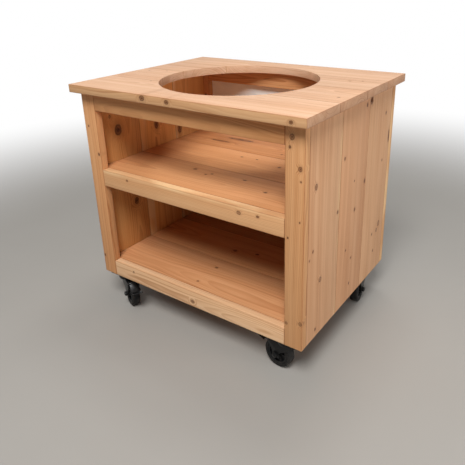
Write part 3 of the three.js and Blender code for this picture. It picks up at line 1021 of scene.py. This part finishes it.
def hub_form(name, sides):
    """A dished hub: rim, web with ribs, and a boss that carries the axle."""
    middle, _, half, seam, end = wheel_places(name)
    rim = half - 2 * MM
    rim_inner = seam - 6 * MM
    web = 4.5 * MM
    boss = 11 * MM
    bore = 5.4 * MM
    mouth = 0.6 * MM
    soft = 1.5 * MM
    ease = 1 * MM
    draft = 0.4 * MM
    outline = [(bore, 0.0), (bore, end - mouth), (bore + mouth, end), (boss - ease, end)]
    outline += [(boss, end - ease), (boss + draft, web + soft)]
    outline += arc(boss + draft + soft, web + soft, soft, 200, 270, 4)
    outline += arc(rim_inner - soft, web + soft, soft, 270, 360, 4)
    outline += [(rim_inner + draft, rim - ease), (rim_inner + draft + ease, rim)]
    outline += [(seam - ease, rim), (seam, rim - ease), (seam, 0.0)]
    lower = [(radius, -height) for radius, height in reversed(outline[1:-1])]
    form = spun(outline + lower, sides)
    rib_reach = (boss + rim_inner) / 2
    rib_size = (rim_inner - boss + RIB_OVERLAP, RIB_HEIGHT + RIB_SUNK, RIB_WIDTH, 1.0)
    for face in (-1, 1):
        for turn in range(HUB_RIBS):
            place = (
                Matrix.Rotation(math.tau * turn / HUB_RIBS, 4, "Y")
                @ Matrix.Translation((rib_reach, face * (web + RIB_HEIGHT / 2), 0.0))
                @ Matrix.Diagonal(rib_size)
            )
            made = bmesh.ops.create_cube(form, size=1.0, matrix=place)
            round_edges(form, edges_made(made), SMALL_ROUND, segments=2)
    form.transform(middle)
    return form


def steel_form(node, radius):
    """A pressed steel piece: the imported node's own shape, with its edges softened."""
    form = bmesh.new()
    form.from_mesh(frame["nodes"][node].data)
    join_faces(form, apart=0.005 * MM, bend=math.radians(1))
    round_edges(form, sharp_edges(form, STEEL_EDGE), radius, segments=2)
    return form


def hexagon(form, across, height, place):
    """A hexagonal head or nut along the Z axis of its place, chamfered at both ends."""
    corner = across / 2 / math.cos(math.pi / 6)
    made = bmesh.ops.create_cone(
        form, cap_ends=True, segments=6, radius1=corner, radius2=corner, depth=height, matrix=place,
    )
    round_edges(form, edges_made(made), SMALL_ROUND, segments=2)


def disc(form, radius, height, place, soft=0.4 * MM):
    """A round disc along the Z axis of its place, with eased rims."""
    made = bmesh.ops.create_cone(
        form, cap_ends=True, segments=DISC_SIDES, radius1=radius, radius2=radius, depth=height,
        matrix=place,
    )
    rims = [edge for edge in edges_made(made) if any(len(face.verts) > 4 for face in edge.link_faces)]
    round_edges(form, rims, soft, segments=2)


def axle_bolt_form(name):
    """Hex head, washers, shank, nut and the end of the thread, along the axle."""
    axes = caster_axes(name)
    low, high = reach(f"{name}_axle_bolt", axes)
    fork_low, fork_high = reach(f"{name}_caster_fork", axes)
    middle = axes @ Matrix.Translation((low + high) / 2)
    lay = Matrix.Rotation(math.radians(-90), 4, "X")

    def along_axle(distance):
        return middle @ Matrix.Translation((0, distance, 0)) @ lay

    form = bmesh.new()
    disc(form, AXLE_RADIUS, high.y - low.y - AXLE_SHORT, along_axle(0), soft=AXLE_ROUND)
    leg = min((fork_high.y - fork_low.y) / 2, LEG_OUTER)
    washer = leg + WASHER_GAP + WASHER_THICKNESS / 2
    head = washer + WASHER_THICKNESS / 2 + AXLE_HEAD_HEIGHT / 2
    for side in (-1, 1):
        disc(form, WASHER_RADIUS, WASHER_THICKNESS, along_axle(side * washer))
        hexagon(form, AXLE_HEAD_ACROSS, AXLE_HEAD_HEIGHT, along_axle(side * head))
    return form


def coat_material(name, base, finish, roughness, dust):
    """Black steel, rubber or plastic with its wear."""
    material, graph, shader = new_material(name)
    seed = random.Random(name).uniform(0, 50)
    wear = graph.group(worn_coat(), place=graph.object_place(), seed=seed)
    scuffed = tuple(min(1.0, value * 2.0 + 0.006) for value in base)
    shade = graph.mix(graph.times(wear["Scuff"], SCUFF_STRENGTH), base, scuffed)
    shade = graph.mix(graph.times(wear["Dust"], dust), shade, finish.dust_colour)
    graph.feed(shader.inputs["Base Color"], shade)
    matt = roughness + GRAIN_ROUGHNESS
    rough = graph.smooth(wear["Grain"], 0.3, 0.7, roughness - GRAIN_ROUGHNESS, matt)
    rough = graph.plus(rough, graph.times(wear["Dust"], DUST_ROUGHNESS))
    graph.feed(shader.inputs["Roughness"], rough)
    graph.feed(shader.inputs["Specular IOR Level"], COAT_GLOSS)
    height = graph.plus(wear["Grain"], wear["Scuff"])
    graph.bump(shader, height, strength=0.5, depth=COAT_DEPTH)
    return material


def coat(node, finish):
    """The finish of a caster's piece, made once for each slot."""
    slot = SLOT_OF[node]
    name = f"{slot}.coat"
    made = bpy.data.materials.get(name)
    if made:
        return made
    if slot == "tyre_rubber":
        return coat_material(name, finish.rubber_colour, finish, roughness=0.7, dust=0.3)
    if slot == "hub_plastic":
        return coat_material(name, finish.hub_colour, finish, roughness=0.48, dust=0.2)
    return coat_material(name, finish.steel_colour, finish, roughness=0.34, dust=0.14)


def caster_piece(form, node, make, finish):
    """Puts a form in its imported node's place, with its coat. Its make ends the piece's name."""
    stand_for(make_object(form, f"{node}_{make}"), node, coat(node, finish))


def steel_pieces(nodes, radius, finish):
    for node in nodes:
        caster_piece(steel_form(node, radius), node, "steel", finish)


class Step:
    """What the steps share: each can be repeated and undone."""

    bl_options = {"REGISTER", "UNDO"}


class GRILL_OT_top(Step, Operator):
    """Build the planks of the top, with the round cut-out"""

    bl_idname = "grill_table.top"
    bl_label = "Top planks"

    def execute(self, context):
        for node in TOP_PLANKS:
            top_plank(node, context.scene.timber_finish)
        return {"FINISHED"}


class GRILL_OT_front_frame(Step, Operator):
    """Build the stiles and rails of the front frame"""

    bl_idname = "grill_table.front_frame"
    bl_label = "Front frame"

    def execute(self, context):
        timber = context.scene.timber_finish
        nodes = [f"front_{member}" for member in FRAME_MEMBERS]
        plain_boards(nodes, timber.frame_colour, timber)
        return {"FINISHED"}


class GRILL_OT_rear_frame(Step, Operator):
    """Build the stiles and rails of the rear frame"""

    bl_idname = "grill_table.rear_frame"
    bl_label = "Rear frame"

    def execute(self, context):
        timber = context.scene.timber_finish
        nodes = [f"rear_{member}" for member in FRAME_MEMBERS]
        plain_boards(nodes, timber.frame_colour, timber)
        return {"FINISHED"}


class GRILL_OT_sides(Step, Operator):
    """Build the upright boards of both sides"""

    bl_idname = "grill_table.sides"
    bl_label = "Side boards"

    def execute(self, context):
        timber = context.scene.timber_finish
        for node in sorted(name for name in frame["nodes"] if "_side_board_" in name):
            # The left side's colour carries painted light for the shaded inner wall
            pale = timber.left_side_colour if node.startswith("left") else timber.side_colour
            thing = plain_board(node, pale, timber)
            if node == KNOT_HOLE_BOARD:
                cut_away(thing, knot_hole_tool())
        return {"FINISHED"}


class GRILL_OT_shelves(Step, Operator):
    """Build the boards of both shelves"""

    bl_idname = "grill_table.shelves"
    bl_label = "Shelf boards"

    def execute(self, context):
        timber = context.scene.timber_finish
        nodes = sorted(name for name in frame["nodes"] if "_shelf_board_" in name)
        plain_boards(nodes, timber.shelf_colour, timber)
        return {"FINISHED"}


class GRILL_OT_underframe(Step, Operator):
    """Build the cleats, the joist and the base runners"""

    bl_idname = "grill_table.underframe"
    bl_label = "Underframe"

    def execute(self, context):
        timber = context.scene.timber_finish
        plain_boards(UNDERFRAME, timber.inner_colour, timber)
        return {"FINISHED"}


class GRILL_OT_caster_plates(Step, Operator):
    """Build the fixed plates of the casters"""

    bl_idname = "grill_table.caster_plates"
    bl_label = "Caster plates"

    def execute(self, context):
        caster = context.scene.caster_finish
        steel_pieces([f"{name}_caster_plate" for name in CASTERS], caster.steel_round / 2, caster)
        return {"FINISHED"}


class GRILL_OT_caster_forks(Step, Operator):
    """Build the turning forks of the casters"""

    bl_idname = "grill_table.caster_forks"
    bl_label = "Caster forks"

    def execute(self, context):
        caster = context.scene.caster_finish
        steel_pieces([f"{name}_caster_fork" for name in CASTERS], caster.steel_round, caster)
        return {"FINISHED"}


class GRILL_OT_wheels(Step, Operator):
    """Build the tyres and hubs of the casters"""

    bl_idname = "grill_table.wheels"
    bl_label = "Wheels"

    def execute(self, context):
        caster = context.scene.caster_finish
        for name in CASTERS:
            for node, make in ((f"{name}_tyre", tyre_form), (f"{name}_wheel_hub", hub_form)):
                caster_piece(make(name, caster.wheel_sides), node, "moulded", caster)
        return {"FINISHED"}


class GRILL_OT_axle_bolts(Step, Operator):
    """Build the axle bolts of the casters, with their washers and nuts"""

    bl_idname = "grill_table.axle_bolts"
    bl_label = "Axle bolts"

    def execute(self, context):
        for name in CASTERS:
            form = axle_bolt_form(name)
            caster_piece(form, f"{name}_axle_bolt", "steel", context.scene.caster_finish)
        return {"FINISHED"}


class GRILL_OT_brake_pedals(Step, Operator):
    """Build the brake pedals of the front casters"""

    bl_idname = "grill_table.brake_pedals"
    bl_label = "Brake pedals"

    def execute(self, context):
        caster = context.scene.caster_finish
        steel_pieces([f"{name}_brake_pedal" for name in BRAKED], caster.steel_round, caster)
        return {"FINISHED"}


def add_camera():
    data = bpy.data.cameras.new("camera")
    data.sensor_width = SENSOR
    data.lens = SENSOR * FOCAL_PIXELS / PICTURE_PIXELS
    data.shift_x = -(AXIS_PIXEL[0] / PICTURE_PIXELS - 0.5)
    data.shift_y = AXIS_PIXEL[1] / PICTURE_PIXELS - 0.5
    camera = bpy.data.objects.new("camera", data)
    bpy.context.scene.collection.objects.link(camera)
    right = Vector(CAMERA_RIGHT).normalized()
    back = -Vector(CAMERA_FORWARD).normalized()
    up = back.cross(right)
    turn = Matrix((right, up, back)).transposed().to_4x4()
    camera.matrix_world = Matrix.Translation(CAMERA_PLACE) @ turn
    bpy.context.scene.camera = camera


def add_lamp(name, place, size, power):
    data = bpy.data.lights.new(name, "AREA")
    data.size = size
    data.energy = power
    lamp = bpy.data.objects.new(name, data)
    lamp.location = place
    lamp.rotation_euler = (LAMP_AIM - Vector(place)).to_track_quat("-Z", "Y").to_euler()
    bpy.context.scene.collection.objects.link(lamp)


def seen_directly(graph):
    """1 for rays that come from the camera, a mirror or glass, 0 for light."""
    path = graph.add("ShaderNodeLightPath").outputs
    seen = graph.math("MAXIMUM", path["Is Camera Ray"], path["Is Glossy Ray"])
    return graph.math("MAXIMUM", seen, path["Is Transmission Ray"])


def floor_material(floor_colour):
    """A pale floor with faint mottling that turns white far from the table."""
    material, graph, shader = new_material("floor")
    place = graph.object_place()
    clouds = graph.noise(place, (2.5, 2.5, 2.5), 1.0, detail=6.0)
    mottling = graph.smooth(clouds, 0.3, 0.7, 0.0, MOTTLE_STRENGTH)
    near = graph.mix(mottling, floor_colour, MOTTLE_TINT, "MULTIPLY")
    graph.feed(shader.inputs["Base Color"], near)
    graph.feed(shader.inputs["Roughness"], FLOOR_ROUGHNESS)
    white = graph.add("ShaderNodeEmission")
    graph.feed(white.inputs["Color"], (1, 1, 1, 1))
    away = graph.smooth(graph.vector("LENGTH", place), *FLOOR_FADE)
    graph.surface(graph.times(away, seen_directly(graph)), shader, white)
    return material


def add_floor(floor_colour):
    form = bmesh.new()
    bmesh.ops.create_circle(form, cap_ends=True, segments=FLOOR_SIDES, radius=FLOOR_RADIUS)
    floor = make_object(form, "floor")
    floor.data.materials.append(floor_material(floor_colour))


def backdrop_material():
    """Pale, and light doesn't pass it, but from behind the camera sees through it."""
    material, graph, shader = new_material("backdrop")
    graph.feed(shader.inputs["Base Color"], CARD_COLOUR)
    graph.feed(shader.inputs["Roughness"], 1.0)
    graph.feed(shader.inputs["Specular IOR Level"], 0.0)
    clear = graph.add("ShaderNodeBsdfTransparent")
    seen = graph.add("ShaderNodeLightPath").outputs["Is Camera Ray"]
    behind = graph.add("ShaderNodeNewGeometry").outputs["Backfacing"]
    graph.surface(graph.minus(1.0, graph.times(seen, behind)), clear, shader)
    return material


def add_backdrop():
    """Pale cards in the two openings of the rear frame, which keep the cabinet dim."""
    left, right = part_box("rear_left_stile")[1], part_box("rear_right_stile")[0]
    rails = [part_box(f"rear_{name}_rail") for name in ("bottom", "middle", "top")]
    turn = Matrix.Rotation(math.radians(90), 4, "X")
    form = bmesh.new()
    for lower, upper in zip(rails, rails[1:]):
        bottom, top = lower[1].z, upper[0].z
        size = (right.x - left.x + 2 * CARD_LAP, top - bottom + 2 * CARD_LAP, 1.0, 1.0)
        place = ((left.x + right.x) / 2, left.y - CARD_DEPTH, (bottom + top) / 2)
        matrix = Matrix.Translation(place) @ turn @ Matrix.Diagonal(size)
        bmesh.ops.create_grid(form, x_segments=1, y_segments=1, size=0.5, matrix=matrix)
    cards = make_object(form, "backdrop")
    cards.data.materials.append(backdrop_material())


def light_world(strength):
    """Soft light from all round, in front of a background that is seen as white."""
    world = bpy.data.worlds.new("studio")
    bpy.context.scene.world = world
    world.use_nodes = True
    graph = Graph(world.node_tree)
    sky = world.node_tree.nodes["Background"]
    graph.feed(sky.inputs["Color"], (1, 1, 1, 1))
    graph.feed(sky.inputs["Strength"], graph.smooth(seen_directly(graph), 0.0, 1.0, strength, 1.0))


class GRILL_OT_stage(Step, Operator):
    """Set up the camera, the floor, the cards behind the cabinet and the lights"""

    bl_idname = "grill_table.stage"
    bl_label = "Stage"

    def execute(self, context):
        stage = context.scene.table_stage
        context.scene.view_settings.view_transform = "Standard"
        add_camera()
        add_floor(stage.floor_colour)
        add_backdrop()
        for name, (place, size) in LAMPS.items():
            add_lamp(name, place, size, getattr(stage, f"{name}_power"))
        light_world(stage.sky_strength)
        return {"FINISHED"}


STEPS = (
    GRILL_OT_top,
    GRILL_OT_front_frame,
    GRILL_OT_rear_frame,
    GRILL_OT_sides,
    GRILL_OT_shelves,
    GRILL_OT_underframe,
    GRILL_OT_caster_plates,
    GRILL_OT_caster_forks,
    GRILL_OT_wheels,
    GRILL_OT_axle_bolts,
    GRILL_OT_brake_pedals,
    GRILL_OT_stage,
)


class GRILL_PT_table(Panel):
    """Lists the steps that build the table"""

    bl_idname = "GRILL_PT_table"
    bl_label = "Grill table"
    bl_space_type = "VIEW_3D"
    bl_region_type = "UI"
    bl_category = "Grill table"

    def draw(self, context):
        for step in STEPS:
            self.layout.operator(step.bl_idname)


SETTINGS = {
    "timber_finish": TimberFinish,
    "caster_finish": CasterFinish,
    "table_stage": StageSettings,
}


def register():
    for group in SETTINGS.values():
        bpy.utils.register_class(group)
    for name, group in SETTINGS.items():
        setattr(bpy.types.Scene, name, PointerProperty(type=group))
    for step in STEPS:
        bpy.utils.register_class(step)
    bpy.utils.register_class(GRILL_PT_table)


def unregister():
    bpy.utils.unregister_class(GRILL_PT_table)
    for step in reversed(STEPS):
        bpy.utils.unregister_class(step)
    for name, group in SETTINGS.items():
        delattr(bpy.types.Scene, name)
        bpy.utils.unregister_class(group)


def main():
    register()
    for step in STEPS:
        family, name = step.bl_idname.split(".")
        getattr(getattr(bpy.ops, family), name)()


if __name__ == "__main__":
    main()
